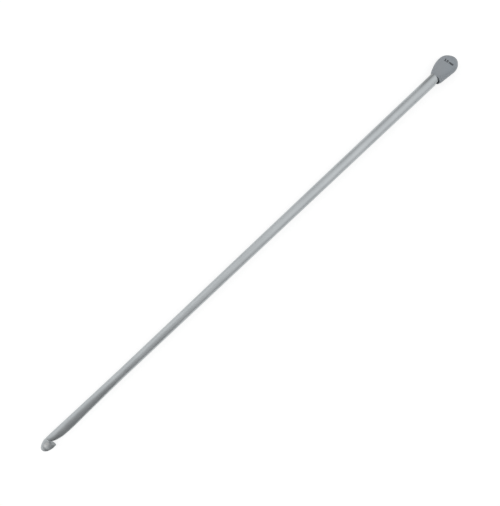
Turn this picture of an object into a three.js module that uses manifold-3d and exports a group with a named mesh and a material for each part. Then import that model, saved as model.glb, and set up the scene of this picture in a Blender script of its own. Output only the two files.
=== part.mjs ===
// A tunisian crochet hook: a slim aluminium rod whose end is pressed and cut into a hook, with a
// moulded plastic knob on its tail that keeps the stitches from sliding off.
// Millimetres, +Z up. The rod lies along X with the hook at the low end, and the hook's mouth
// opens towards -Y. The origin ends up under the middle of the whole hook, level with the flat
// of the knob that it rests on.
import * as THREE from 'three';
import { mergeVertices } from 'three/addons/utils/BufferGeometryUtils.js';
import Module from 'manifold-3d';

const wasm = await Module();
wasm.setup();

// Length of the whole hook and gauge of its rod
const overallLength = 300;
const shaftDiameter = 5;

// Head of the hook. A swell or an overhang is what stands out past the round rod.
const noseLength = 6.4;
const noseDrop = 0.45;
const noseBluntness = 1.25;
const chinBluntness = 1.9;
const backSwell = 0.57;
const lipOverhang = 1.67;
const lipReach = 9.1;
const lipUndercut = 1.35;
const lipEdge = 0.45;
const headThickness = 3;
const noseFullAt = 3.8;
const lipThinning = 0.27;
const thinningFrom = 2.6;
const thinningLength = 3.2;

// Throat behind the lip, and the pressed grip that it runs out into
const neckHeight = 3.4;
const neckRecovery = 10;
const throatGap = 0.3;
const throatLength = 19.65;
const throatCurve = 2.8;
const gripSwell = 0.7;
const gripTaper = 1.3;
const pressedLength = 72;
const pressedFullness = 1.12;

// Knob, measured from its mouth
const knobLength = 12.4;
const knobWidth = 9.1;
const knobBellyAt = 7.9;
const knobEndRoundness = 0.62;
const knobEndWall = 3.8;
const knobFlatWall = 0.95;
const knobSlimming = 0.08;
const knobBow = 0.74;
const knobBowSkew = 0.87;
const knobMouthSway = -0.33;
const knobMouthSlant = THREE.MathUtils.degToRad(6);
const knobMouthScoop = 1.1;
const mouthWall = 0.35;
const mouthRounding = 1.2;
const mouthInset = 0.32;
const flareGap = 0.28;
const flareDepth = 2.2;

// Tail of the rod inside the knob, with the rolled grooves that the knob's ribs sit in
const fitClearance = 0.05;
const tailGap = 0.3;
const tailEdge = 0.3;
const grooveCount = 2;
const grooveStart = 3.4;
const groovePitch = 2.4;
const grooveWidth = 1;
const grooveDepth = 0.3;

// How finely the round forms are drawn
const roundSides = 32;
const noseRings = 8;
const throatRings = 12;
const gripRings = 8;
const shaftRings = 9;
const knobRings = 8;
const mouthRings = 3;

const shaftRadius = shaftDiameter / 2;
const headBack = shaftRadius + backSwell;
const headFront = shaftRadius + lipOverhang;
const lipFaceX = lipReach - lipUndercut;
const throatX = lipFaceX + throatGap;
const throatFloor = neckHeight - headBack;
const gripX = throatX + throatLength;
const mouthX = overallLength - knobLength;
const boreEndX = overallLength - knobEndWall;
const tailEndX = boreEndX - tailGap;

const { clamp, lerp, smoothstep } = THREE.MathUtils;

const aluminium = new THREE.MeshStandardMaterial({ color: 0xb2b7b9, roughness: 0.38, metalness: 1 });
const greyPlastic = new THREE.MeshStandardMaterial({ color: 0x8b9195, roughness: 0.55, metalness: 0 });

// Numbers from start to end in equal steps, with both ends, bunched towards the start by bunching
function steps(start, end, count, bunching = 1) {
  return Array.from({ length: count + 1 }, (_, i) => lerp(start, end, (i / count) ** bunching));
}

// A closed oval of points around the X direction. It reaches back towards +Y and front towards
// -Y. A lean tips its plane over, all of it or the part below leanBelow, and a dome draws its
// sides back towards -X. A fullness above 1 fills out the corners of the oval.
function ring({ x, back, front, thickness, lean = 0, leanBelow = Infinity, dome = 0, fullness = 1 }) {
  const middle = (back - front) / 2;
  const halfHeight = (back + front) / 2;
  const filled = (value) => Math.sign(value) * Math.abs(value) ** (1 / fullness);
  return Array.from({ length: roundSides }, (_, i) => {
    const turn = (2 * Math.PI * i) / roundSides;
    const y = middle + halfHeight * filled(Math.cos(turn));
    const side = filled(Math.sin(turn));
    const tipped = x + lean * Math.min(y, leanBelow) - dome * side ** 2;
    return new THREE.Vector3(tipped, y, (thickness / 2) * side);
  });
}

// A round ring, centred on the rod or swayed off it towards +Y
function roundRing(x, radius, sway = 0) {
  return ring({ x, back: radius + sway, front: radius - sway, thickness: 2 * radius });
}

function middleOf(points) {
  const sum = points.reduce((total, point) => total.add(point), new THREE.Vector3());
  return sum.divideScalar(points.length);
}

// The closed skin over a row of rings, with a fan of triangles over each end. A tip is the point
// that an end's fan runs to, and is the middle of the end ring where none is given.
function loft(rings, { startTip = middleOf(rings[0]), endTip = middleOf(rings.at(-1)) } = {}) {
  const points = [...rings.flat(), startTip, endTip];
  const start = points.length - 2;
  const end = points.length - 1;
  const faces = [];
  for (let i = 0; i < roundSides; i += 1) {
    const next = (i + 1) % roundSides;
    for (let row = 0; row < rings.length - 1; row += 1) {
      const low = row * roundSides;
      const high = low + roundSides;
      faces.push([low + i, low + next, high + i], [low + next, high + next, high + i]);
    }
    const last = (rings.length - 1) * roundSides;
    faces.push([start, next, i], [end, last + i, last + next]);
  }
  const geometry = new THREE.BufferGeometry().setFromPoints(points);
  return geometry.setIndex(faces.flat());
}

// The same shape with its corners shared, so that it is closed
function weld(geometry) {
  geometry.deleteAttribute('normal');
  geometry.deleteAttribute('uv');
  return mergeVertices(geometry);
}

function toSolid(geometry) {
  return new wasm.Manifold(new wasm.Mesh({
    numProp: 3,
    vertProperties: new Float32Array(geometry.attributes.position.array),
    triVerts: new Uint32Array(geometry.index.array),
  }));
}

function toGeometry(solid) {
  const mesh = solid.getMesh();
  const geometry = new THREE.BufferGeometry();
  geometry.setAttribute('position', new THREE.BufferAttribute(mesh.vertProperties, 3));
  geometry.setIndex(new THREE.BufferAttribute(mesh.triVerts, 1));
  return geometry;
}

// The bullet nose and the head behind it, up to the lip's edge. The head is pressed thinner towards
// the lip. On the mouth's side the rings lean over step by step, until the last one lies in the
// plane of the lip's undercut inner face.
function headRings() {
  const lipLean = -lipUndercut / headFront;
  const faceX = lipFaceX - lipEdge;
  const headRing = (x, lipInset = 0) => {
    const nearLip = clamp(x / faceX, 0, 1) ** 2;
    const swell = (bluntness) => Math.sqrt(1 - clamp(1 - x / noseLength, 0, 1) ** bluntness);
    const rounding = Math.sqrt(1 - clamp(1 - x / noseFullAt, 0, 1) ** 2);
    const thinned = lipThinning * smoothstep(x, thinningFrom, thinningFrom + thinningLength);
    return ring({
      x,
      back: lerp(-noseDrop, headBack, swell(noseBluntness)),
      front: lerp(noseDrop, headFront - lipInset, swell(chinBluntness)),
      thickness: headThickness * rounding * (1 - thinned),
      lean: lipLean * nearLip,
      leanBelow: 0,
      fullness: pressedFullness,
    });
  };
  const nose = steps(0, noseLength, noseRings, 2).slice(1);
  const rings = [...nose, (noseLength + faceX) / 2, faceX].map((x) => headRing(x));
  return [...rings, headRing(lipFaceX, lipEdge)];
}

// One ring of the rod behind the lip, from the throat's floor to where the rod is round again. The
// neck starts as thin as the lip.
function pressedRing(x) {
  const pressed = clamp((pressedLength - x) / (pressedLength - gripX), 0, 1);
  const opened = clamp((x - throatX) / throatLength, 0, 1);
  const gripReach = shaftRadius + gripSwell * pressed ** gripTaper;
  const nearThroat = (pressedLength - x) / (pressedLength - throatX);
  const thinned = lipThinning * (1 - smoothstep(x, throatX, throatX + neckRecovery));
  return ring({
    x,
    back: lerp(shaftRadius, headBack, nearThroat),
    front: lerp(throatFloor, gripReach, 1 - (1 - opened) ** throatCurve),
    thickness: lerp(shaftDiameter, headThickness, nearThroat) * (1 - thinned),
    fullness: lerp(1, pressedFullness, pressed),
  });
}

// Places and radii along the grooved tail, made larger by clearance for the bore that holds it
function tailStations(clearance) {
  const radius = shaftRadius + clearance;
  return steps(0, grooveCount - 1, grooveCount - 1).flatMap((i) => {
    const start = mouthX + grooveStart + i * groovePitch;
    const end = start + grooveWidth;
    const floor = radius - grooveDepth;
    return [[start, radius], [start + grooveDepth, floor], [end - grooveDepth, floor], [end, radius]];
  });
}

// The hook: nose, lip and throat, as far as the full depth of the pressed grip. The rod is one
// piece of metal, and is parted here so that each half has a simple shape.
function makeHookHead() {
  const rings = [...headRings(), ...steps(throatX, gripX, throatRings, 1.4).map(pressedRing)];
  return loft(rings, { startTip: new THREE.Vector3(0, -noseDrop, 0) });
}

// The rest of the rod: the pressed grip, the round shaft and the grooved tail
function makeShaft() {
  return loft([
    ...steps(gripX, pressedLength, gripRings).map(pressedRing),
    ...steps(pressedLength, mouthX, shaftRings).slice(1).map((x) => roundRing(x, shaftRadius)),
    ...tailStations(0).map(([x, radius]) => roundRing(x, radius)),
    roundRing(tailEndX - tailEdge, shaftRadius),
    roundRing(tailEndX, shaftRadius - tailEdge),
  ]);
}

// How far the knob's middle line lies off the rod's, towards +Y
function knobSway(distance) {
  const along = distance / knobLength;
  return knobMouthSway * (1 - along) + knobBow * Math.sin(Math.PI * along ** knobBowSkew);
}

// Half the knob's width at a distance from its mouth: a quarter wave out to the belly, then the
// rounded end
function knobReach(distance) {
  const mouthRadius = shaftRadius + flareGap + mouthWall;
  const belly = knobWidth / 2;
  if (distance < knobBellyAt) {
    return lerp(mouthRadius, belly, Math.sin((Math.PI / 2) * (distance / knobBellyAt)));
  }
  const past = (distance - knobBellyAt) / (knobLength - knobBellyAt);
  return belly * Math.max(0, 1 - past ** 2) ** knobEndRoundness;
}

// One ring of the knob. Towards the mouth the rings slant more and more, and are scooped back
// above and below the rod.
function knobRing(distance, inset = 0) {
  const reach = knobReach(distance) - inset;
  const slim = 1 - knobSlimming * clamp(distance / knobBellyAt, 0, 1);
  const nearMouth = clamp(1 - distance / knobBellyAt, 0, 1) ** 2;
  return ring({
    x: mouthX + distance,
    back: reach + knobSway(distance),
    front: reach - knobSway(distance),
    thickness: 2 * reach * slim,
    lean: Math.tan(knobMouthSlant) * nearMouth,
    dome: -knobMouthScoop * nearMouth,
  });
}

// The moulded body, before its bore is cut and its flats are taken off
function knobBody() {
  const roundedEnd = steps(0, Math.PI / 2, knobRings).slice(1, -1)
    .map((turn) => lerp(knobBellyAt, knobLength, Math.sin(turn)));
  const roundedMouth = steps(0, 1, mouthRings).slice(0, -1)
    .map((along) => knobRing(mouthRounding * along, mouthInset * (1 - along) ** 2));
  const rings = [
    ...roundedMouth,
    ...steps(mouthRounding, knobBellyAt, knobRings).map((distance) => knobRing(distance)),
    ...roundedEnd.map((distance) => knobRing(distance)),
  ];
  return loft(rings, { endTip: new THREE.Vector3(overallLength, 0, 0) });
}

// What the rod fills, larger by the clearance, so that what is left between makes the ribs
function knobBore() {
  const radius = shaftRadius + fitClearance;
  return loft([
    roundRing(mouthX - knobLength, radius),
    ...tailStations(fitClearance).map(([x, reach]) => roundRing(x, reach)),
    roundRing(boreEndX, radius),
  ]);
}

// The flare that leads the rod in. Its cone runs on past the mouth, so that it clears the slant.
function knobFlare() {
  const slope = (flareGap - fitClearance) / flareDepth;
  return loft([-flareDepth, flareDepth].map((distance) => {
    const radius = shaftRadius + flareGap - slope * distance;
    return roundRing(mouthX + distance, radius, knobMouthSway * (1 - distance / flareDepth));
  }));
}

function makeEndKnob() {
  const halfThickness = shaftRadius + fitClearance + knobFlatWall;
  const slab = new THREE.BoxGeometry(2 * knobLength, 2 * knobWidth, 2 * halfThickness);
  slab.translate(mouthX + knobLength / 2, 0, 0);
  const solid = toSolid(knobBody())
    .intersect(toSolid(weld(slab)))
    .subtract(toSolid(knobBore()))
    .subtract(toSolid(knobFlare()));
  return toGeometry(solid);
}

function part(name, geometry, material) {
  geometry.computeVertexNormals();
  const mesh = new THREE.Mesh(geometry, material);
  mesh.name = name;
  return mesh;
}

const hook = new THREE.Group();
hook.add(part('hook_head', makeHookHead(), aluminium));
hook.add(part('shaft', makeShaft(), aluminium));
hook.add(part('end_knob', makeEndKnob(), greyPlastic));

const box = new THREE.Box3().setFromObject(hook);
const middle = box.getCenter(new THREE.Vector3());
hook.position.set(-middle.x, -middle.y, -box.min.z);

export default hook;
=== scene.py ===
"""A tunisian crochet hook: a satin aluminium rod whose end is pressed and cut into a hook, with a
moulded plastic knob on its tail. Lengths are in metres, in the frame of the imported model. A rod
point is worked out from the hook's tip and the rod's axis, and then moved to its place."""
import math

import bmesh
import bpy
from mathutils import Matrix, Vector


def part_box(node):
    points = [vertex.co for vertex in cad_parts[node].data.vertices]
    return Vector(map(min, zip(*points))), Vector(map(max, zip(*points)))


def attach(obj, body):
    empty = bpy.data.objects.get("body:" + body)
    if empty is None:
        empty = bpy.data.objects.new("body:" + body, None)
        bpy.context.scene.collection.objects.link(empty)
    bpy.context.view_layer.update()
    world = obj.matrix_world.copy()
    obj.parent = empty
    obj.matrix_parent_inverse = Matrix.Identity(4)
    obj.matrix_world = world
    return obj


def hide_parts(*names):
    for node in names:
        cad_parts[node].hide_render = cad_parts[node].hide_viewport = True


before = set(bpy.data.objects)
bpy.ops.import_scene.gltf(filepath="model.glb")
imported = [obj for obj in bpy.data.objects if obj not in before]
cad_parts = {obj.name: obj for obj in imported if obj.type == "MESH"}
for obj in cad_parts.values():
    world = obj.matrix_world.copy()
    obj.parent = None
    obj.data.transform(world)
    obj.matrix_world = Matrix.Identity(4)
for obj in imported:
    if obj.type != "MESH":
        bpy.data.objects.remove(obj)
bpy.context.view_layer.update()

MM = 0.001

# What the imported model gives. The tail's radius is taken from the shaft's last millimetre
HEAD_LOW, HEAD_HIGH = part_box("hook_head")
SHAFT_LOW, SHAFT_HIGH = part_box("shaft")
KNOB_LOW, KNOB_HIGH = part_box("end_knob")
TAIL = [v.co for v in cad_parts["shaft"].data.vertices if v.co.x > SHAFT_HIGH.x - MM]
TAIL_TOP = max(point.y for point in TAIL)
TAIL_BOTTOM = min(point.y for point in TAIL)
SHAFT_RADIUS = (TAIL_TOP - TAIL_BOTTOM) / 2
TIP = Vector((HEAD_LOW.x, (TAIL_TOP + TAIL_BOTTOM) / 2, (SHAFT_LOW.z + SHAFT_HIGH.z) / 2))
OVERALL_LENGTH = KNOB_HIGH.x - TIP.x
HEAD_BACK = HEAD_HIGH.y - TIP.y
HEAD_FRONT = TIP.y - HEAD_LOW.y
GRIP_X = SHAFT_LOW.x - TIP.x
TAIL_END_X = SHAFT_HIGH.x - TIP.x
KNOB_FLAT = TIP.z - KNOB_LOW.z

# Head of the hook
NOSE_LENGTH = 6.4 * MM
NOSE_DROP = 0.45 * MM
NOSE_BLUNTNESS = 1.25
CHIN_LENGTH = 5.6 * MM
CHIN_BLUNTNESS = 1.75
CHIN_BULGE = 0.07 * MM
CHIN_BULGE_FROM = 4.0 * MM
LIP_FACE_X = 7.75 * MM
LIP_LEAN = -1.6 * MM / HEAD_FRONT
LIP_EDGE = 0.4 * MM
HEAD_THICKNESS = 3.0 * MM
NOSE_FULL_AT = 3.8 * MM
LIP_THINNING = 0.27
THINNING_FROM = 2.6 * MM
THINNING_LENGTH = 3.2 * MM

# Throat and pressed grip
THROAT_X = 8.05 * MM
THROAT_FLOOR = 0.33 * MM
THROAT_CURVE = 4.0
NECK_THINNING = 0.38
NECK_RECOVERY = 9 * MM
GRIP_FRONT = 3.28 * MM
GRIP_TAPER = 1.3
PRESSED_LENGTH = 72 * MM

# Cross-sections of the pressed metal, which blend from the head's into the neck's
PRESSED_FULLNESS = 1.22
THROAT_FULLNESS = 0.8
NECK_FULLNESS = 1.0
HEAD_CREST = 0.2 * MM
HEAD_CREST_FROM = 3 * MM
NECK_CREST = 0.8 * MM
NECK_CREST_SPREAD = 0.6
HEAD_BLEND = 2.4 * MM

# Smoothed metal at the back of the throat's root
SMOOTHED_FROM = 6.2 * MM
SMOOTHED_TO = 10.5 * MM
SMOOTHED_ABOVE = 0.7 * MM
SMOOTHING_ROUNDS = 80
SMOOTHING_SHARE = 0.5

# Waist of the tail, measured from the knob's mouth: a pressed flat and a slanted shoulder
WAIST_START = -2.0 * MM
WAIST_FULL = -0.4 * MM
WAIST_FADE = 1.4 * MM
WAIST_END = 2.2 * MM
WAIST_DEPTH = 0.5 * MM
SHOULDER_X = 0.65 * MM
SHOULDER_SLANT = 0.45
SHOULDER_LENGTH = 1.0 * MM
SHOULDER_DEPTH = 0.16 * MM
SHOULDER_FADE = 2

# Rolled grooves and end of the tail, which the knob hides
GROOVE_STARTS = (3.4 * MM, 5.8 * MM)
GROOVE_WIDTH = 1 * MM
GROOVE_DEPTH = 0.3 * MM
TAIL_EDGE = 0.3 * MM

# Knob, measured from its mouth
KNOB_LENGTH = 12.4 * MM
KNOB_X = OVERALL_LENGTH - KNOB_LENGTH
KNOB_BELLY = 4.55 * MM
KNOB_BELLY_AT = 7.9 * MM
KNOB_END_ROUNDNESS = 0.62
KNOB_SLIMMING = 0.08
KNOB_BOW = 0.74 * MM
KNOB_BOW_SKEW = 0.87
KNOB_MOUTH_SWAY = -0.33 * MM
KNOB_MOUTH_START = -0.2 * MM
KNOB_MOUTH_SLANT_BACK = math.radians(16)
KNOB_MOUTH_SLANT_FRONT = math.radians(8)
KNOB_MOUTH_TILT = math.radians(15)
KNOB_MOUTH_SCOOP = 0.5 * MM
KNOB_FLAT_ROUNDING = 0.3 * MM
MOUTH_RADIUS = SHAFT_RADIUS + 0.63 * MM
MOUTH_ROUNDING = 1.2 * MM
MOUTH_INSET = 0.43 * MM
MOUTH_RIM = 0.06 * MM
FLARE_GAP = 0.16 * MM
FLARE_DEPTH = 2.2 * MM
BORE_CLEARANCE = 0.05 * MM
KNOB_END_WALL = 3.8 * MM
BORE_END = KNOB_LENGTH - KNOB_END_WALL
PARTING_RIDGE = 0.03 * MM
GATE_RADIUS = 0.9 * MM
GATE_DEPTH = 0.14 * MM
GATE_STEEPNESS = 4

# Gauge number sunk in the knob's upper flat, set across the rod
NUMBER_TEXT = "5.0 mm"
NUMBER_X = TIP.x + 295.85 * MM
NUMBER_Y = TIP.y + 0.8 * MM
NUMBER_WIDTH = 4.4 * MM
NUMBER_TURN = math.radians(14)
NUMBER_DEPTH = 0.25 * MM
NUMBER_BOLDNESS = 0.065 * MM
NUMBER_SPACING = 1.1
NUMBER_EDGE = math.radians(40)

# How finely the round forms are drawn, and how near points of a skin or a letter are merged
ROD_SIDES = 96
KNOB_SIDES = 144
SKIN_MERGE = 1e-7
LETTER_MERGE = 1e-6


def lerp(start, end, share):
    return start + (end - start) * share


def clamp(value):
    return min(1.0, max(0.0, value))


def smooth(value):
    share = clamp(value)
    return share**2 * (3 - 2 * share)


def steps(start, end, count, bunching=1.0):
    """Numbers from start to end, with both ends, bunched towards the start by bunching."""
    return [lerp(start, end, (i / count) ** bunching) for i in range(count + 1)]


def quarter_turn(count):
    """The sine and the cosine of count equal steps of a quarter turn."""
    turns = [math.pi / 2 * (i + 1) / count for i in range(count)]
    return [(math.sin(turn), math.cos(turn)) for turn in turns]


def filled(value, fullness):
    return math.copysign(abs(value) ** (1 / fullness), value)


def oval(turn, x, back, front, thickness, fullness, crest, lean=0.0):
    """A point of a closed oval round the rod. It reaches back towards +Y and front towards -Y. A
    fullness over 1 makes it boxier, a crest moves its thickest place towards +Y, and a lean tips
    its -Y half over along the rod."""
    side = filled(math.sin(turn), fullness)
    y = (back - front) / 2 + (back + front) / 2 * filled(math.cos(turn), fullness) + crest * side**2
    return Vector((x + lean * min(y, 0.0), y, thickness / 2 * side))


def oval_ring(**sizes):
    return lambda turn: oval(turn, **sizes)


def circle(turn, x, radius):
    return Vector((x, radius * math.cos(turn), radius * math.sin(turn)))


def circle_ring(x, radius):
    return lambda turn: circle(turn, x, radius)


def skin(rings, sides):
    """A closed skin: a circle is extruded once for each further ring, and a ring is a function
    that gives the place of a turn. The first and the last ring are drawn together into points."""
    bm = bmesh.new()
    turn_of = bm.verts.layers.float.new("turn")
    verts = bmesh.ops.create_circle(bm, cap_ends=False, radius=1, segments=sides)["verts"]
    for vert in verts:
        vert[turn_of] = math.atan2(vert.co.y, vert.co.x)
    edges = bm.edges[:]
    for number, ring in enumerate(rings):
        if number:
            grown = bmesh.ops.extrude_edge_only(bm, edges=edges)["geom"]
            verts = [part for part in grown if isinstance(part, bmesh.types.BMVert)]
            edges = [part for part in grown if isinstance(part, bmesh.types.BMEdge)]
        for vert in verts:
            vert.co = ring(vert[turn_of])
    bmesh.ops.remove_doubles(bm, verts=bm.verts, dist=SKIN_MERGE)
    bmesh.ops.translate(bm, verts=bm.verts, vec=TIP)
    bmesh.ops.recalc_face_normals(bm, faces=bm.faces)
    return bm


def finish_piece(bm, name, material, slot, *replaced):
    mesh = bpy.data.meshes.new(name)
    bm.to_mesh(mesh)
    bm.free()
    mesh.materials.append(material)
    mesh.shade_smooth()
    piece = bpy.data.objects.new(name, mesh)
    bpy.context.scene.collection.objects.link(piece)
    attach(piece, "root")
    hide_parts(*replaced)
    return piece


def head_thickness(x):
    rounding = math.sqrt(1 - clamp(1 - x / NOSE_FULL_AT) ** 2)
    thinned = smooth((x - THINNING_FROM) / THINNING_LENGTH)
    return HEAD_THICKNESS * rounding * (1 - LIP_THINNING * thinned)


def head_ring(x, inset=0.0):
    """A ring of the head: its back follows the nose and its front the chin."""
    near_lip = clamp(x / (LIP_FACE_X - LIP_EDGE)) ** 2
    nose = math.sqrt(1 - clamp(1 - x / NOSE_LENGTH) ** NOSE_BLUNTNESS)
    chin = math.sqrt(1 - clamp(1 - x / CHIN_LENGTH) ** CHIN_BLUNTNESS)
    along_bulge = clamp((x - CHIN_BULGE_FROM) / (LIP_FACE_X - CHIN_BULGE_FROM))
    bulge = math.sin(math.pi * along_bulge) ** 2
    return oval_ring(
        x=x,
        back=lerp(-NOSE_DROP, HEAD_BACK, nose),
        front=lerp(NOSE_DROP, HEAD_FRONT - inset, chin) + CHIN_BULGE * bulge,
        thickness=head_thickness(x),
        fullness=PRESSED_FULLNESS,
        crest=HEAD_CREST * clamp(x / HEAD_CREST_FROM),
        lean=LIP_LEAN * near_lip,
    )


def undercut_ring(inward, along):
    """The lip's inner face, which curves into the floor of the throat at its root."""
    root_thickness = HEAD_THICKNESS * (1 - NECK_THINNING)
    return oval_ring(
        x=lerp(LIP_FACE_X, THROAT_X, along),
        back=HEAD_BACK,
        front=lerp(HEAD_FRONT - LIP_EDGE, THROAT_FLOOR, inward),
        thickness=lerp(head_thickness(LIP_FACE_X), root_thickness, along),
        fullness=PRESSED_FULLNESS,
        crest=HEAD_CREST,
        lean=LIP_LEAN * (1 - along),
    )


def pressed_ring(x):
    """A ring of the neck and the grip. Swollen is 1 at the throat's root and 0 where the round rod
    starts, opened is 0 at the root and 1 where the throat has run out, and pressed is 1 up to
    there and 0 where the round rod starts."""
    swollen = (PRESSED_LENGTH - x) / (PRESSED_LENGTH - THROAT_X)
    opened = clamp((x - THROAT_X) / (GRIP_X - THROAT_X))
    pressed = clamp((PRESSED_LENGTH - x) / (PRESSED_LENGTH - GRIP_X))
    grip = lerp(SHAFT_RADIUS, GRIP_FRONT, pressed**GRIP_TAPER)
    thinned = NECK_THINNING * (1 - smooth((x - THROAT_X) / NECK_RECOVERY))
    past_head = smooth((x - THROAT_X) / HEAD_BLEND)
    neck_fullness = lerp(THROAT_FULLNESS, NECK_FULLNESS, opened)
    neck_crest = NECK_CREST * swollen * abs(math.sin(math.pi * swollen)) ** NECK_CREST_SPREAD
    return oval_ring(
        x=x,
        back=lerp(SHAFT_RADIUS, HEAD_BACK, swollen),
        front=lerp(THROAT_FLOOR, grip, 1 - (1 - opened) ** THROAT_CURVE),
        thickness=lerp(2 * SHAFT_RADIUS, HEAD_THICKNESS, swollen) * (1 - thinned),
        fullness=lerp(PRESSED_FULLNESS, neck_fullness, past_head),
        crest=lerp(HEAD_CREST, neck_crest, past_head),
    )


def tail_stations(radius):
    """Places along the grooved tail, from the knob's mouth, with the radius there."""
    stations = []
    for start in GROOVE_STARTS:
        end = start + GROOVE_WIDTH
        floor = radius - GROOVE_DEPTH
        stations += [(start, radius), (start + GROOVE_DEPTH, floor)]
        stations += [(end - GROOVE_DEPTH, floor), (end, radius)]
    return stations


def waist_ring(x):
    """A ring of the tail with a flat pressed in its -Y side, and a slanted shoulder in that half
    behind which the rod is thinner."""
    kept = 1 - smooth((x - WAIST_FADE) / (WAIST_END - WAIST_FADE))
    flat = smooth((x - WAIST_START) / (WAIST_FULL - WAIST_START))
    limit = WAIST_DEPTH * flat * kept - SHAFT_RADIUS

    def place(turn):
        start = SHOULDER_X + SHOULDER_SLANT * SHAFT_RADIUS * math.cos(turn)
        front_half = smooth(0.5 - SHOULDER_FADE * math.cos(turn))
        lowered = smooth((x - start) / SHOULDER_LENGTH) * front_half
        point = circle(turn, KNOB_X + x, SHAFT_RADIUS - SHOULDER_DEPTH * lowered * kept)
        point.y = max(point.y, limit)
        return point

    return place


def smooth_root(bm):
    """Evens out the metal behind the root of the throat, where the wide head meets the neck."""
    root = []
    for vert in bm.verts:
        place = vert.co - TIP
        if SMOOTHED_FROM < place.x < SMOOTHED_TO and place.y > SMOOTHED_ABOVE:
            root.append(vert)
    axes = {"use_axis_x": True, "use_axis_y": True, "use_axis_z": True}
    for _ in range(SMOOTHING_ROUNDS):
        bmesh.ops.smooth_vert(bm, verts=root, factor=SMOOTHING_SHARE, **axes)


def make_rod(material):
    """The whole rod in one piece of metal, from the nose to the hidden tail. The counts say how
    many steps draw each stretch."""
    nose = [head_ring(x) for x in steps(0, NOSE_LENGTH, 28, bunching=2)]
    cheek = [head_ring(x) for x in steps(NOSE_LENGTH, LIP_FACE_X - LIP_EDGE, 3)[1:]]
    rim = [
        head_ring(LIP_FACE_X - LIP_EDGE * (1 - sine), LIP_EDGE * (1 - cosine))
        for sine, cosine in quarter_turn(5)
    ]
    undercut = [undercut_ring(sine, 1 - cosine) for sine, cosine in quarter_turn(16)]
    throat = [pressed_ring(x) for x in steps(THROAT_X, GRIP_X, 44, bunching=1.4)[1:]]
    grip = [pressed_ring(x) for x in steps(GRIP_X, PRESSED_LENGTH, 30)[1:]]
    round_part = steps(PRESSED_LENGTH, KNOB_X + WAIST_START, 60)[1:]
    shaft = [circle_ring(x, SHAFT_RADIUS) for x in round_part]
    waist = [waist_ring(x) for x in steps(WAIST_START, WAIST_END, 40)[1:]]
    tail = [circle_ring(KNOB_X + x, radius) for x, radius in tail_stations(SHAFT_RADIUS)]
    end = [
        circle_ring(TAIL_END_X - TAIL_EDGE, SHAFT_RADIUS),
        circle_ring(TAIL_END_X, SHAFT_RADIUS - TAIL_EDGE),
        circle_ring(TAIL_END_X, 0),
    ]
    head = [*nose, *cheek, *rim, *undercut]
    bm = skin([*head, *throat, *grip, *shaft, *waist, *tail, *end], ROD_SIDES)
    smooth_root(bm)
    return finish_piece(bm, "hooked_rod", material, "satin_aluminium", "hook_head", "shaft")


def knob_sway(distance):
    """How far the knob's middle line lies off the rod's, towards +Y."""
    along = distance / KNOB_LENGTH
    bow = KNOB_BOW * math.sin(math.pi * along**KNOB_BOW_SKEW)
    return KNOB_MOUTH_SWAY * (1 - along) + bow


def knob_reach(distance):
    """Half the knob's width: a quarter wave out to the belly, then the rounded end."""
    if distance < KNOB_BELLY_AT:
        wave = math.sin(math.pi / 2 * distance / KNOB_BELLY_AT)
        return lerp(MOUTH_RADIUS, KNOB_BELLY, wave)
    past = (distance - KNOB_BELLY_AT) / (KNOB_LENGTH - KNOB_BELLY_AT)
    return KNOB_BELLY * max(0.0, 1 - past**2) ** KNOB_END_ROUNDNESS


def flattened(z):
    """A height brought down to the knob's flat, with a rounded edge."""
    start = KNOB_FLAT - KNOB_FLAT_ROUNDING
    over = max(0.0, abs(z) - start) / KNOB_FLAT_ROUNDING
    return math.copysign(min(abs(z), start) + KNOB_FLAT_ROUNDING * math.tanh(over), z)


def mouth_shift(distance, y, z):
    """How far a point of the knob lies back towards +X. The mouth slants back to both sides of
    the rod, is tilted back at its top, and is scooped a little above and below the rod."""
    near_mouth = clamp(1 - distance / KNOB_BELLY_AT) ** 2
    slant_angle = KNOB_MOUTH_SLANT_BACK if y > 0 else KNOB_MOUTH_SLANT_FRONT
    slant = math.tan(slant_angle) * abs(y)
    tilt = math.tan(KNOB_MOUTH_TILT) * z
    scoop = KNOB_MOUTH_SCOOP * clamp(abs(z) / MOUTH_RADIUS) ** 2
    return near_mouth * (KNOB_MOUTH_START + slant + tilt + scoop)


def knob_ring(distance):
    """A ring of the knob's outside, at a distance from its mouth."""
    inset = MOUTH_INSET * clamp(1 - distance / MOUTH_ROUNDING) ** 2
    reach = knob_reach(distance) - inset
    slim = 1 - KNOB_SLIMMING * clamp(distance / KNOB_BELLY_AT)
    sunk = GATE_DEPTH * clamp(GATE_STEEPNESS * (1 - reach / GATE_RADIUS))

    def place(turn):
        side = math.sin(turn)
        ridge = PARTING_RIDGE if abs(side) < math.sin(math.pi / KNOB_SIDES) else 0.0
        y = knob_sway(distance) + (reach + ridge) * math.cos(turn)
        x = KNOB_X + distance - sunk + mouth_shift(distance, y, reach * side)
        return Vector((x, y, flattened(reach * slim * side)))

    return place


def flare_ring(share):
    """The flared mouth, from the rim at share 0 to the bore at share 1."""
    slope = (FLARE_GAP - BORE_CLEARANCE) / FLARE_DEPTH

    def place(turn):
        opening = circle(turn, 0, SHAFT_RADIUS + FLARE_GAP)
        rim = mouth_shift(0.0, KNOB_MOUTH_SWAY + opening.y, opening.z)
        depth = lerp(rim, FLARE_DEPTH, share)
        radius = SHAFT_RADIUS + FLARE_GAP - slope * depth
        sway = KNOB_MOUTH_SWAY * (1 - depth / FLARE_DEPTH)
        return circle(turn, KNOB_X + depth, radius) + Vector((0, sway, 0))

    return place


def rim_ring(share):
    """The rounded edge between the knob's outside, at share 0, and its flare, at share 1."""
    outside, inside = knob_ring(0.0), flare_ring(0.0)
    bulge = Vector((-MOUTH_RIM * math.sin(math.pi * share), 0, 0))
    return lambda turn: outside(turn).lerp(inside(turn), share) + bulge


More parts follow.
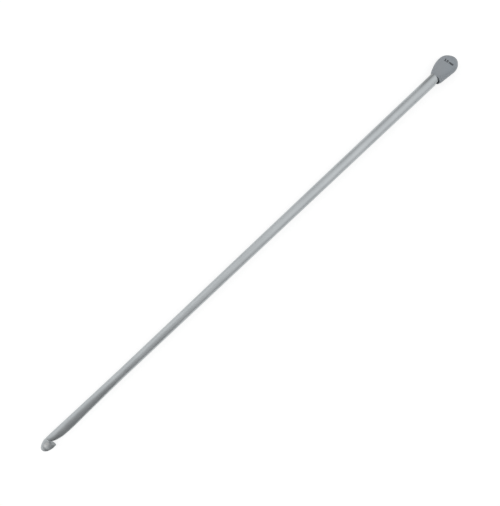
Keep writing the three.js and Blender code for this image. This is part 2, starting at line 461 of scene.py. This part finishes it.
def cut_number(knob):
    """Sinks the gauge number into the knob's upper flat. The letters' faces have the second
    material slot, so that the faces they leave in the knob are known and can be given ink."""
    curve = bpy.data.curves.new("number", "FONT")
    curve.body = NUMBER_TEXT
    curve.align_x, curve.align_y, curve.space_character = "CENTER", "CENTER", NUMBER_SPACING
    letters = bpy.data.objects.new("number", curve)
    bpy.context.scene.collection.objects.link(letters)
    bpy.context.view_layer.update()
    curve.size = NUMBER_WIDTH / letters.dimensions.x
    curve.extrude, curve.offset = NUMBER_DEPTH, NUMBER_BOLDNESS
    bpy.context.view_layer.update()
    graph = bpy.context.evaluated_depsgraph_get()
    cutter_mesh = bpy.data.meshes.new_from_object(letters.evaluated_get(graph))
    bm = bmesh.new()
    bm.from_mesh(cutter_mesh)
    bmesh.ops.remove_doubles(bm, verts=bm.verts, dist=LETTER_MERGE)
    bmesh.ops.recalc_face_normals(bm, faces=bm.faces)
    bm.to_mesh(cutter_mesh)
    bm.free()
    reading, upward = math.sin(NUMBER_TURN), math.cos(NUMBER_TURN)
    turned = Matrix(((reading, upward, 0, 0), (-upward, reading, 0, 0), (0, 0, 1, 0), (0, 0, 0, 1)))
    flat_middle = Matrix.Translation((NUMBER_X, NUMBER_Y, TIP.z + KNOB_FLAT))
    cutter_mesh.transform(flat_middle @ turned)
    bpy.data.objects.remove(letters)
    for face in cutter_mesh.polygons:
        face.material_index = 1
    knob.data.materials.append(knob.data.materials[0])
    cutter = bpy.data.objects.new("number_cutter", cutter_mesh)
    bpy.context.scene.collection.objects.link(cutter)
    cut = knob.modifiers.new("number", "BOOLEAN")
    cut.operation, cut.solver, cut.use_self, cut.object = "DIFFERENCE", "EXACT", True, cutter
    cut.material_mode = "INDEX"
    bpy.context.view_layer.update()
    graph = bpy.context.evaluated_depsgraph_get()
    finished = bpy.data.meshes.new_from_object(knob.evaluated_get(graph))
    knob.modifiers.clear()
    bpy.data.objects.remove(cutter)
    knob.data = finished
    knob.data.set_sharp_from_angle(angle=NUMBER_EDGE)
    ink = knob.data.attributes.new("ink", "FLOAT", "FACE")
    for face in knob.data.polygons:
        ink.data[face.index].value = float(face.material_index == 1)
        face.material_index = 0
    while len(knob.data.materials) > 1:
        knob.data.materials.pop()


def make_knob(material):
    """The knob in one closed skin, from the blind end of its bore out over its mouth and round
    to the gate mark on its end. The counts say how many steps draw each stretch."""
    radius = SHAFT_RADIUS + BORE_CLEARANCE
    blind_end = [circle_ring(KNOB_X + BORE_END, 0), circle_ring(KNOB_X + BORE_END, radius)]
    ribs = [circle_ring(KNOB_X + x, reach) for x, reach in reversed(tail_stations(radius))]
    flare = [flare_ring(share) for share in reversed(steps(0, 1, 6))]
    rim = [rim_ring(share) for share in reversed(steps(0, 1, 6)[1:-1])]
    mouth = [knob_ring(distance) for distance in steps(0, MOUTH_ROUNDING, 8)]
    body = [knob_ring(distance) for distance in steps(MOUTH_ROUNDING, KNOB_BELLY_AT, 26)[1:]]
    round_end = [
        knob_ring(lerp(KNOB_BELLY_AT, KNOB_LENGTH, sine)) for sine, _ in quarter_turn(36)
    ]
    bm = skin([*blind_end, *ribs, *flare, *rim, *mouth, *body, *round_end], KNOB_SIDES)
    knob = finish_piece(bm, "stopper_knob", material, "grey_plastic", "end_knob")
    cut_number(knob)
    return knob


class Socket:
    """An output of a shader node. Sums on sockets add Math nodes."""

    def __init__(self, shader, output):
        self.shader = shader
        self.output = output

    def math(self, operation, *values, clamped=False):
        settings = {"operation": operation, "use_clamp": clamped}
        return self.shader.add("ShaderNodeMath", settings, dict(enumerate(values)))[0]

    def __add__(self, other):
        return self.math("ADD", self, other)

    def __sub__(self, other):
        return self.math("SUBTRACT", self, other)

    def __rsub__(self, other):
        return self.math("SUBTRACT", other, self)

    def __mul__(self, other):
        return self.math("MULTIPLY", self, other)

    __radd__ = __add__
    __rmul__ = __mul__

    def limited(self):
        return self.math("ADD", self, 0.0, clamped=True)


class Shader:
    """The node tree of a material or of the world."""

    def __init__(self, owner):
        owner.use_nodes = True
        self.tree = owner.node_tree
        self.tree.nodes.clear()

    def add(self, kind, settings, inputs):
        """Adds a node: its settings first, then the values or links of its inputs. Gives its
        outputs."""
        node = self.tree.nodes.new(kind)
        for name, value in settings.items():
            setattr(node, name, value)
        for name, value in inputs.items():
            if isinstance(value, Socket):
                self.tree.links.new(value.output, node.inputs[name])
            else:
                node.inputs[name].default_value = value
        return [Socket(self, output) for output in node.outputs]

    def object_place(self):
        """Object coordinates, which are a Texture Coordinate node's output 3."""
        return self.add("ShaderNodeTexCoord", {}, {})[3]

    def attribute(self, name):
        """A number that is stored on the mesh, which is an Attribute node's output 2."""
        return self.add("ShaderNodeAttribute", {"attribute_name": name}, {})[2]

    def vector(self, operation, *values):
        """The outputs of a Vector Math node: a vector, and a number."""
        settings = {"operation": operation}
        return self.add("ShaderNodeVectorMath", settings, dict(enumerate(values)))

    def noise(self, place, stretch, detail=2.0, roughness=0.5):
        """Noise from 0 to 1, with as many waves in a metre as stretch says for X, Y and Z."""
        scaled = self.add("ShaderNodeMapping", {}, {"Vector": place, "Scale": stretch})[0]
        inputs = {"Vector": scaled, "Scale": 1.0, "Detail": detail, "Roughness": roughness}
        return self.add("ShaderNodeTexNoise", {}, inputs)[0]

    def blend(self, share, start, end):
        """A colour between two colours. They are a Mix node's inputs 6 and 7 and its output 2."""
        return self.add("ShaderNodeMix", {"data_type": "RGBA"}, {0: share, 6: start, 7: end})[2]

    def rise(self, value, start, end):
        """A smooth step from 0 at start to 1 at end."""
        settings = {"interpolation_type": "SMOOTHSTEP"}
        return self.add("ShaderNodeMapRange", settings, {0: value, 1: start, 2: end})[0]

    def bump(self, height, strength):
        inputs = {"Strength": strength, "Distance": RELIEF_HEIGHT, "Height": height}
        return self.add("ShaderNodeBump", {}, inputs)[0]

    def finish(self, surface, kind="ShaderNodeOutputMaterial"):
        self.add(kind, {}, {"Surface": surface})


def colour(red, green, blue):
    return (red, green, blue, 1.0)


def grey(level):
    return colour(level, level, level)


# Noises of the surfaces: waves in a metre along X, Y and Z
METAL_LINES = (25, 5200, 5200)
METAL_BANDS = (9, 700, 700)
METAL_CLOUDS = (90, 220, 220)
METAL_GRAIN = (9000, 14000, 14000)
PLASTIC_MOTTLE = (260, 260, 260)
PLASTIC_HUES = (120, 120, 120)
PLASTIC_GRAIN = (7000, 7000, 7000)

# Share of each noise in the metal's tone
LINE_TONE = 0.3
BAND_TONE = 0.2
CLOUD_TONE = 0.35
GRAIN_TONE = 0.15

# Relief of the surfaces, and the share of each noise in it
RELIEF_HEIGHT = 0.02 * MM
METAL_RELIEF = 0.5
LINE_RELIEF = 0.7
BAND_RELIEF = 0.5
GRAIN_RELIEF = 0.5
PLASTIC_RELIEF = 0.3
MOTTLE_RELIEF = 0.4
PLASTIC_GRAIN_RELIEF = 0.6

# Roughness of the surfaces, and what each noise adds to it
METAL_ROUGHNESS = 0.29
CLOUD_ROUGHNESS = 0.1
LINE_ROUGHNESS = 0.06
RUBBED_SHINE = 0.04
PLASTIC_ROUGHNESS = 0.5
MOTTLE_ROUGHNESS = 0.12

# Colours of the metal, with the tones between which the drawn ones blend, then the painted
# highlight and the painted shades
DRAWN_TONES = (0.36, 0.64)
DRAWN_DARK = colour(0.43, 0.457, 0.47)
DRAWN_PALE = colour(0.51, 0.536, 0.551)
HIGHLIGHT_BRIGHT = colour(0.66, 0.675, 0.68)
KNOB_SHADE_DARK = colour(0.31, 0.325, 0.33)
UNDERCUT_SHADE_DARK = colour(0.24, 0.255, 0.26)

# Colours of the plastic and of the ink in its number
COOL_DARK = colour(0.262, 0.299, 0.33)
COOL_PALE = colour(0.3, 0.335, 0.367)
WARM_DARK = colour(0.28, 0.294, 0.311)
WARM_PALE = colour(0.318, 0.334, 0.354)
NUMBER_INK = colour(0.02, 0.022, 0.028)

# Painted highlight on the head's pressed face: its middle from the tip, how much sooner it fades
# along X and Y than a round patch would, and the distances where it starts to fade and has faded
FACET_MIDDLE = Vector((5.6, -0.12, 0)) * MM
FACET_SQUASH = Vector((0.63, 1.2, 0))
FACET_FADE = (0.45 * MM, 1.9 * MM)

# Places between which a look comes or goes, two for each: the painted shade in the lip's undercut
# starts at the lip's face, ends along the neck and at the back of the throat, and the painted shade
# before the knob lies on the rod's +Y side
RUBBED_UNTIL = (TIP.x + 3 * MM, TIP.x + 12 * MM)
SHADE_FROM_LIP = (-0.3 * MM, 0.1 * MM)
SHADE_UNTIL_NECK = (TIP.x + 8 * MM, TIP.x + 12 * MM)
SHADE_UNTIL_BACK = (TIP.y - 1.6 * MM, TIP.y - 0.1 * MM)
# Painted shade on the rod's +Y side just before the knob
KNOB_SHADE_FROM = (TIP.x + KNOB_X - 9 * MM, TIP.x + KNOB_X - 2 * MM)
KNOB_SHADE_ABOVE = (TIP.y + 1.1 * MM, TIP.y + 1.7 * MM)


def painted_highlight_facet(shader, place):
    """A painted highlight on the pressed face of the head, from 0 to 1."""
    offset = shader.vector("SUBTRACT", place, TIP + FACET_MIDDLE)[0]
    squashed = shader.vector("MULTIPLY", offset, FACET_SQUASH)[0]
    distance = shader.vector("LENGTH", squashed)[1]
    return 1 - shader.rise(distance, *FACET_FADE)


def undercut_shade(shader, x, y):
    """Painted shade on the lip's inner face and the floor of the throat beside it, from 0 to 1."""
    lip_plane = TIP.x + LIP_FACE_X + LIP_LEAN * (y - TIP.y)
    behind_lip = shader.rise(x - lip_plane, *SHADE_FROM_LIP)
    before_neck = 1 - shader.rise(x, *SHADE_UNTIL_NECK)
    return behind_lip * before_neck * (1 - shader.rise(y, *SHADE_UNTIL_BACK))


def satin_aluminium():
    """Pearl grey aluminium: drawn along its length, finely matted and smoother towards the nose,
    with a painted highlight on the head's facet, painted shade on the rod's +Y side before the
    knob, and painted shade on the lip's inner face and in the throat."""
    material = bpy.data.materials.new("satin_aluminium")
    shader = Shader(material)
    place = shader.object_place()
    x, y, _ = shader.add("ShaderNodeSeparateXYZ", {}, {0: place})
    lines = shader.noise(place, METAL_LINES, detail=3.0, roughness=0.6)
    bands = shader.noise(place, METAL_BANDS)
    clouds = shader.noise(place, METAL_CLOUDS, detail=3.0, roughness=0.55)
    grain = shader.noise(place, METAL_GRAIN, detail=1.0)
    tone = lines * LINE_TONE + bands * BAND_TONE + clouds * CLOUD_TONE + grain * GRAIN_TONE
    drawn = shader.blend(shader.rise(tone, *DRAWN_TONES), DRAWN_DARK, DRAWN_PALE)
    # Painted highlight on the head's pressed face
    highlighted = shader.blend(painted_highlight_facet(shader, place), drawn, HIGHLIGHT_BRIGHT)
    # Painted shade darkens the rod's +Y side just before the knob
    knob_shade = shader.rise(x, *KNOB_SHADE_FROM) * shader.rise(y, *KNOB_SHADE_ABOVE)
    shaded = shader.blend(knob_shade, highlighted, KNOB_SHADE_DARK)
    # Painted shade on the lip's inner face and on the throat's floor
    base = shader.blend(undercut_shade(shader, x, y), shaded, UNDERCUT_SHADE_DARK)
    rubbed = 1 - shader.rise(x, *RUBBED_UNTIL)
    matte = METAL_ROUGHNESS + CLOUD_ROUGHNESS * clouds + LINE_ROUGHNESS * lines
    roughness = matte - RUBBED_SHINE * rubbed
    height = lines * LINE_RELIEF + grain * GRAIN_RELIEF + bands * BAND_RELIEF
    relief = shader.bump(height, METAL_RELIEF)
    inputs = {"Base Color": base, "Metallic": 1.0, "Roughness": roughness, "Normal": relief}
    shader.finish(shader.add("ShaderNodeBsdfPrincipled", {}, inputs)[0])
    return material


def grey_plastic():
    """Moulded matte plastic with a faintly mottled surface. Dark ink fills the sunk number."""
    material = bpy.data.materials.new("grey_plastic")
    shader = Shader(material)
    place = shader.object_place()
    mottle = shader.noise(place, PLASTIC_MOTTLE, detail=3.0, roughness=0.55)
    hue = shader.noise(place, PLASTIC_HUES, detail=1.0)
    grain = shader.noise(place, PLASTIC_GRAIN)
    cool = shader.blend(mottle, COOL_DARK, COOL_PALE)
    warm = shader.blend(mottle, WARM_DARK, WARM_PALE)
    body = shader.blend(hue, cool, warm)
    base = shader.blend(shader.attribute("ink"), body, NUMBER_INK)
    roughness = PLASTIC_ROUGHNESS + MOTTLE_ROUGHNESS * mottle
    height = grain * PLASTIC_GRAIN_RELIEF + mottle * MOTTLE_RELIEF
    relief = shader.bump(height, PLASTIC_RELIEF)
    inputs = {"Base Color": base, "Roughness": roughness, "Normal": relief}
    shader.finish(shader.add("ShaderNodeBsdfPrincipled", {}, inputs)[0])
    return material


# Floor: its gap keeps it clear of the knob's lower flat, and its rays are a Light Path node's
# outputs for what the camera sees, a shiny surface reflects and a clear one lets through
FLOOR_SIZE = 40.0
FLOOR_GAP = 0.02 * MM
FLOOR_PAINT = 0.9
FLOOR_GLOW = 0.62
FLOOR_GLOW_STRENGTH = 1.2
CAMERA_RAY, GLOSSY_RAY, TRANSMISSION_RAY = 0, 3, 6

# Lamp
LAMP_PLACE = (-0.1, -0.2, 0.9)
LAMP_SIZE = 0.8
LAMP_POWER = 0.25

# Room: each side is a direction, and its fade says how near to it a ray starts to show that side
# and shows it fully
HORIZON = 0.55
CEILING = 1.08
CEILING_SIDE = Vector((-0.27, -0.21, 0.94)).normalized()
CEILING_FADE = (0.08, 0.82)
DARKNESS = 0.8
DARK_SIDE = Vector((-0.98, 0.0, -0.15)).normalized()
DARK_FADE = (-0.05, 0.56)
WHITE_WALL = 0.87
WHITE_WALL_SIDE = Vector((-0.8, 0.6, 0.07)).normalized()
WHITE_WALL_FADE = (0.42, 0.92)
SKIRTING = 0.55
UPWARD = (0, 0, 1)
SKIRTING_FADE = (0.0, 0.16)


def make_floor():
    """A white floor that shows the hook's shadow softly."""
    bm = bmesh.new()
    bmesh.ops.create_grid(bm, x_segments=1, y_segments=1, size=FLOOR_SIZE / 2)
    bmesh.ops.translate(bm, verts=bm.verts, vec=(0, 0, KNOB_LOW.z - FLOOR_GAP))
    mesh = bpy.data.meshes.new("floor")
    bm.to_mesh(mesh)
    bm.free()
    material = bpy.data.materials.new("floor_white")
    shader = Shader(material)
    rays = shader.add("ShaderNodeLightPath", {}, {})
    seen = (rays[CAMERA_RAY] + rays[GLOSSY_RAY] + rays[TRANSMISSION_RAY]).limited()
    paint = shader.add("ShaderNodeBsdfDiffuse", {}, {"Color": grey(FLOOR_PAINT)})[0]
    light = {"Color": grey(1.0), "Strength": FLOOR_GLOW_STRENGTH}
    glow = shader.add("ShaderNodeEmission", {}, light)[0]
    mixed = {0: seen * FLOOR_GLOW, 1: paint, 2: glow}
    shader.finish(shader.add("ShaderNodeMixShader", {}, mixed)[0])
    mesh.materials.append(material)
    floor = bpy.data.objects.new("floor", mesh)
    bpy.context.scene.collection.objects.link(floor)


def light_studio():
    """A pale ceiling that fades to a dimmer horizon. Beyond the hook's nose the room is dark,
    apart from a white wall on one side. A wide lamp hangs overhead. The way in which a ray leaves
    is a Texture Coordinate node's output 0."""
    world = bpy.data.worlds.new("studio")
    bpy.context.scene.world = world
    shader = Shader(world)
    toward = shader.add("ShaderNodeTexCoord", {}, {})[0]

    def facing(side, fade):
        return shader.rise(shader.vector("DOT_PRODUCT", toward, side)[1], *fade)

    room = HORIZON + (CEILING - HORIZON) * facing(CEILING_SIDE, CEILING_FADE)
    room = room * (1 - DARKNESS * facing(DARK_SIDE, DARK_FADE))
    room = room + WHITE_WALL * facing(WHITE_WALL_SIDE, WHITE_WALL_FADE)
    room = room * (1 - SKIRTING * (1 - facing(UPWARD, SKIRTING_FADE)))
    light = {"Color": grey(1.0), "Strength": room}
    background = shader.add("ShaderNodeBackground", {}, light)[0]
    shader.finish(background, "ShaderNodeOutputWorld")
    lamp = bpy.data.lights.new("overhead", "AREA")
    lamp.shape, lamp.size, lamp.energy = "DISK", LAMP_SIZE, LAMP_POWER
    overhead = bpy.data.objects.new("overhead", lamp)
    overhead.location = LAMP_PLACE
    bpy.context.scene.collection.objects.link(overhead)


# Camera, from the photograph: it stands above the rod on the knob's side of the middle, aims at
# a place nearer the hook, and is rolled so that the rod runs up to the right
CAMERA_PLACE = Vector((224.24 * MM, -0.56 * MM, 245.1 * MM))
CAMERA_AIM = Vector((169.9 * MM, -0.203 * MM, 0))
CAMERA_ROLL = math.radians(43.3)
CAMERA_LENS = 35.36
CAMERA_SENSOR = 36.0
CAMERA_NEAREST = 10 * MM


def add_camera():
    back = (CAMERA_PLACE - CAMERA_AIM).normalized()
    along = (Vector((1, 0, 0)) - back.x * back).normalized()
    across = along.cross(back)
    right = math.cos(CAMERA_ROLL) * along + math.sin(CAMERA_ROLL) * across
    up = math.sin(CAMERA_ROLL) * along - math.cos(CAMERA_ROLL) * across
    data = bpy.data.cameras.new("camera")
    data.lens, data.sensor_width, data.clip_start = CAMERA_LENS, CAMERA_SENSOR, CAMERA_NEAREST
    camera = bpy.data.objects.new("camera", data)
    turned = Matrix((right, up, back)).transposed().to_4x4()
    camera.matrix_world = Matrix.Translation(TIP + CAMERA_PLACE) @ turned
    bpy.context.scene.collection.objects.link(camera)
    bpy.context.scene.camera = camera


bpy.context.scene.view_settings.view_transform = "Standard"
make_rod(satin_aluminium())
make_knob(grey_plastic())
make_floor()
light_studio()
add_camera()
